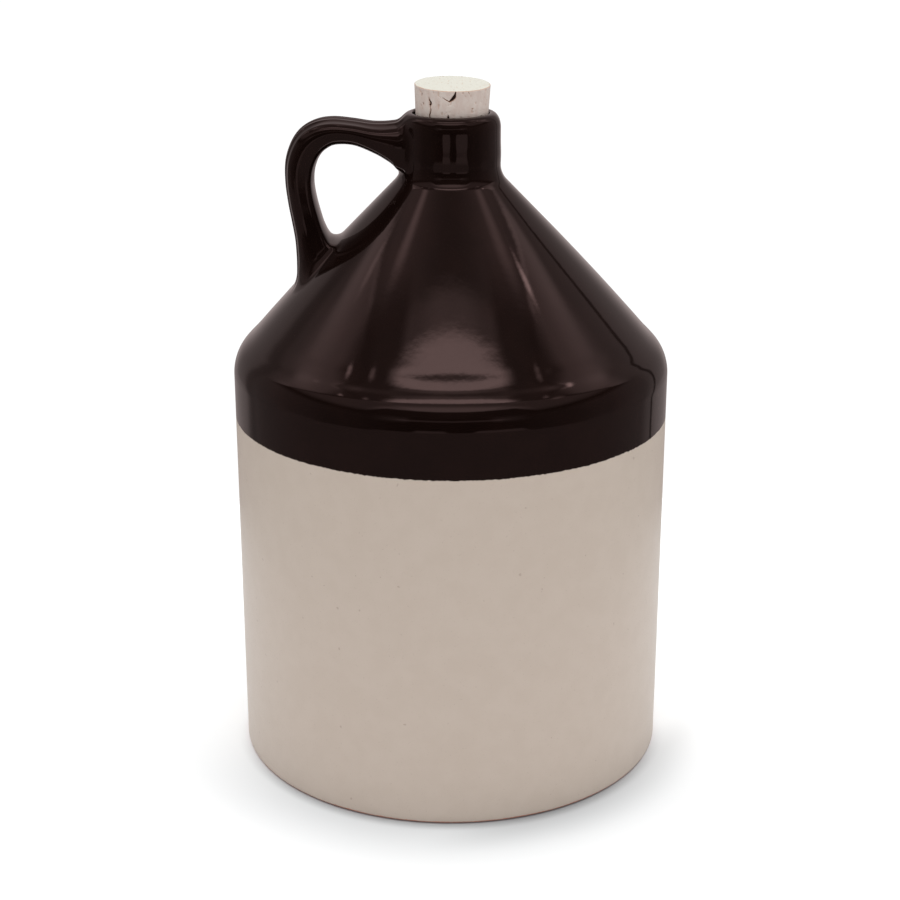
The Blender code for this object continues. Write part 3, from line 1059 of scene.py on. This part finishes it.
def area_light(name, place, width, height, radiance):
    """A soft panel at place that faces the jug."""
    data = bpy.data.lights.new(name, "AREA")
    data.shape = "RECTANGLE"
    data.size = width
    data.size_y = height
    data.energy = radiance * math.pi * width * height
    light = bpy.data.objects.new(name, data)
    light.location = place
    light.rotation_euler = (Vector(LIGHT_TARGET) - Vector(place)).to_track_quat("-Z", "Y").to_euler()
    light.visible_camera = False
    light.visible_glossy = False
    bpy.context.scene.collection.objects.link(light)


def make_lights():
    """Soft panels that light the matt surfaces. What the gloss mirrors is in the world below."""
    for panel in LIGHT_PANELS:
        area_light(*panel)


class Direction:
    """Several measures of a direction in which the glaze mirrors the light tent, as a shader's values.

    The roof is laid out on a level plane one unit up, with `over` to the right and `ahead` away from the
    front. Angles are in degrees: `turn` is from the front, to the right if positive, `aside` is the same to
    either side and 180 behind, and `rise` is above the horizon.
    """

    def __init__(self, tree, x, y, z):
        degrees = math.degrees(1)
        self.turn = tree.times(tree.math("ARCTAN2", x, tree.times(y, -1.0)), degrees)
        self.aside = tree.math("ABSOLUTE", self.turn)
        self.rise = tree.times(tree.math("ARCSINE", z), degrees)
        up = tree.math("MAXIMUM", z, LEAST_UP)
        self.over = tree.math("DIVIDE", x, up)
        self.ahead = tree.math("DIVIDE", y, up)
        self.wide = tree.math("ABSOLUTE", self.over)
        self.square = tree.times(self.over, self.over)
        self.reach = tree.hypotenuse(self.over, self.ahead)
        self.arched = tree.plus(self.ahead, tree.times(self.square, ROOF_ARCH))


def roof_middle(tree, way):
    """The roof: dim in the middle, with a bright strip across, near its front edge."""
    roof = tree.plus(ROOF_LEVEL, tree.times(tree.math("MINIMUM", way.square, ROOF_GAIN_LIMIT), ROOF_GAIN))
    for oval in ROOF_OVALS:
        roof = tree.plus(roof, tree.oval(way.over, way.ahead, *oval))
    step = tree.times(tree.ramp(way.arched, *ROOF_STEP), tree.ramp(way.wide, *ROOF_STEP_WIDTH))
    roof = tree.plus(roof, step)
    slanted = tree.plus(tree.times(way.wide, SEAM_SLANT), tree.times(way.ahead, -1.0))
    seam = tree.times(tree.ramp(slanted, *SEAM_START), tree.ramp(way.wide, *SEAM_WIDTH))
    roof = tree.mix_value(seam, roof, SEAM_LEVEL)
    full = tree.plus(tree.times(way.square, STRIP_FULL_BEND), STRIP_FULL_PLACE)
    begin = tree.plus(tree.times(way.square, STRIP_BEGIN_BEND), STRIP_BEGIN_PLACE)
    strip = tree.times(tree.ramp(way.ahead, full, begin, 1.0, 0.0), tree.ramp(way.wide, *STRIP_WIDTH))
    return tree.mix_value(strip, roof, STRIP_LEVEL)


def roof_front(tree, way):
    """What is beyond the roof's front edge, which reaches further at the sides."""
    to_side = tree.ramp(way.aside, *FRONT_TO_SIDE)
    front = tree.mix_value(to_side, tree.ramp(way.ahead, *FRONT_FALL), FRONT_SIDE_LEVEL)
    fade_start = tree.mix_value(to_side, *FRONT_FADE_START)
    fade_end = tree.mix_value(to_side, *FRONT_FADE_END)
    return tree.times(front, tree.ramp(way.reach, fade_start, fade_end, 1.0, FRONT_LEAST))


def side_panel(tree, way):
    """The soft panels beyond the roof's side edges."""
    panel = tree.plus(PANEL_LEVEL, tree.oval(way.wide, way.ahead, *PANEL_OVAL))
    panel = tree.times(panel, tree.ramp(way.ahead, *PANEL_FRONT_END))
    fading = tree.times(tree.ramp(way.reach, *PANEL_FADE_REACH), tree.ramp(way.aside, *PANEL_FADE_ASIDE))
    return tree.mix_value(fading, panel, PANEL_FADED_LEVEL)


def upper_tent(tree, way):
    """Roof, what is in front of it, side panels, a thin bright line along each edge, and lamps."""
    in_front = tree.ramp(way.arched, *ROOF_FRONT_EDGE)
    roof = tree.mix_value(in_front, roof_middle(tree, way), roof_front(tree, way))
    edge = tree.plus(way.wide, tree.times(way.ahead, SIDE_EDGE_SLANT), -SIDE_EDGE_PLACE)
    roof = tree.times(roof, tree.ramp(edge, *ROOF_SIDE_EDGE))
    side = tree.times(tree.ramp(edge, *PANEL_START), tree.ramp(way.arched, *PANEL_BEHIND_FRONT))
    light = tree.mix_value(side, roof, side_panel(tree, way))
    line = tree.times(tree.ramp(tree.math("ABSOLUTE", edge), *LINE_WIDTH), tree.ramp(way.ahead, *LINE_START))
    right = tree.ramp(way.over, *RIGHT_HALF)
    line = tree.times(line, tree.ramp(way.ahead, *LINE_END), tree.mix_value(right, *LINE_LEVELS))
    light = tree.plus(light, line)
    for oval in LAMP_OVALS:
        light = tree.plus(light, tree.oval(way.over, way.ahead, *oval))
    return light


def mirrored_table(tree, way):
    """The table's brightness, and the rise with the table's uneven far edge made level."""
    beside = tree.plus(tree.between(way.turn, *TABLE_LEFT_PART), tree.between(way.turn, *TABLE_RIGHT_PART))
    table = tree.ramp(way.aside, *TABLE_LEVEL)
    table = tree.plus(table, tree.times(beside, tree.ramp(way.rise, *TABLE_FAR_GAIN)))
    lift = tree.between(way.aside, TABLE_LIFT_START, TABLE_LIFT_END)
    return table, tree.plus(way.rise, tree.times(beside, -TABLE_DROP), lift)


def lower_tent(tree, way):
    """Below the roof: dark in front, where the camera stands, and paler behind."""
    low = tree.plus(*(tree.ramp(way.aside, *gain) for gain in LOW_GAINS))
    doorway = tree.ramp(tree.away(way.rise, DOORWAY_RISE), *DOORWAY_HEIGHT)
    doorway = tree.times(doorway, tree.ramp(way.aside, *DOORWAY_WIDTH))
    posts = tree.times(tree.ramp(way.rise, *POST_FOOT), tree.between(way.aside, POST_INNER, POST_OUTER))
    low = tree.plus(low, doorway, posts)
    low = tree.mix_value(tree.ramp(way.aside, *BACK_START), low, BACK_LEVEL)
    low = tree.plus(low, tree.ramp(way.aside, *BACK_GAIN))
    table, above_table = mirrored_table(tree, way)
    return tree.mix_value(tree.ramp(above_table, *TABLE_EDGE), low, table)


def mirrored_studio(tree, x, y, z):
    """Brightness of the light tent round the jug, by direction, as the glaze mirrors it."""
    way = Direction(tree, x, y, z)
    low = lower_tent(tree, way)
    light = tree.mix_value(tree.ramp(way.rise, *ROOF_START), low, upper_tent(tree, way))
    back = tree.math("MAXIMUM", low, BACK_WALL_LEAST)
    light = tree.mix_value(tree.ramp(way.aside, *BACK_WALL_START), light, back)
    thin = tree.ramp(tree.away(way.turn, RIGHT_SEAM_TURN), *RIGHT_SEAM)
    soft = tree.ramp(tree.away(way.turn, LEFT_SEAM_TURN), *LEFT_SEAM)
    return tree.mix_value(tree.math("MAXIMUM", thin, soft), light, DARK_SEAM_LEVEL)


def background(tree, colour, strength):
    made = tree.new("ShaderNodeBackground")
    tree.plug(colour if isinstance(colour, bpy.types.NodeSocket) else (*colour, 1), made.inputs["Color"])
    tree.plug(strength, made.inputs["Strength"])
    return made.outputs[0]


def mix_shader(tree, share, first, second):
    made = tree.new("ShaderNodeMixShader")
    tree.plug(share, made.inputs["Fac"])
    tree.plug(first, made.inputs[1])
    tree.plug(second, made.inputs[2])
    return made.outputs[0]


def make_world():
    """White where the camera sees past the jug, an even light for matt surfaces, a light tent for gloss."""
    world = bpy.data.worlds.new("studio")
    bpy.context.scene.world = world
    world.use_nodes = True
    world.node_tree.nodes.clear()
    tree = Tree(world.node_tree)
    x, y, z = tree.xyz(tree.new("ShaderNodeTexCoord").outputs["Generated"])
    path = tree.new("ShaderNodeLightPath")
    aside = tree.math("ARCTAN2", tree.math("ABSOLUTE", x), tree.times(y, -1.0))
    tint = tree.mix(tree.ramp(aside, *TINT_CHANGE), MIRRORED_FRONT, MIRRORED_BACK)
    glossy = background(tree, tint, mirrored_studio(tree, x, y, z))
    level = tree.plus(DIFFUSE_LEVEL, tree.ramp(x, -1.0, 1.0, -DIFFUSE_LEAN, DIFFUSE_LEAN))
    even = background(tree, WHITE, level)
    white = background(tree, WHITE, BACKDROP_LEVEL)
    first = mix_shader(tree, path.outputs["Is Glossy Ray"], even, glossy)
    second = mix_shader(tree, path.outputs["Is Camera Ray"], first, white)
    tree.plug(second, tree.new("ShaderNodeOutputWorld").inputs["Surface"])


def make_camera():
    data = bpy.data.cameras.new("camera")
    data.lens = LENS
    data.sensor_width = SENSOR
    camera = bpy.data.objects.new("camera", data)
    back = CAMERA_DISTANCE * math.cos(CAMERA_PITCH)
    up = CAMERA_DISTANCE * math.sin(CAMERA_PITCH)
    camera.location = (CAMERA_OFFSET, -back, CAMERA_TARGET_HEIGHT + up)
    camera.rotation_euler = (math.pi / 2 - CAMERA_PITCH, 0, 0)
    bpy.context.scene.collection.objects.link(camera)
    bpy.context.scene.camera = camera


def main():
    bpy.context.scene.view_settings.view_transform = "Standard"
    jug = make_jug()
    jug.data.materials.clear()
    jug.data.materials.append(glaze_material())
    cork = make_cork()
    cork.data.materials.append(cork_material())
    for piece, node, slot in ((jug, "jug", "stoneware"), (cork, "cork", "cork")):
        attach(piece, "root")
        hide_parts(node)
    make_floor()
    make_lights()
    make_world()
    make_camera()


main()
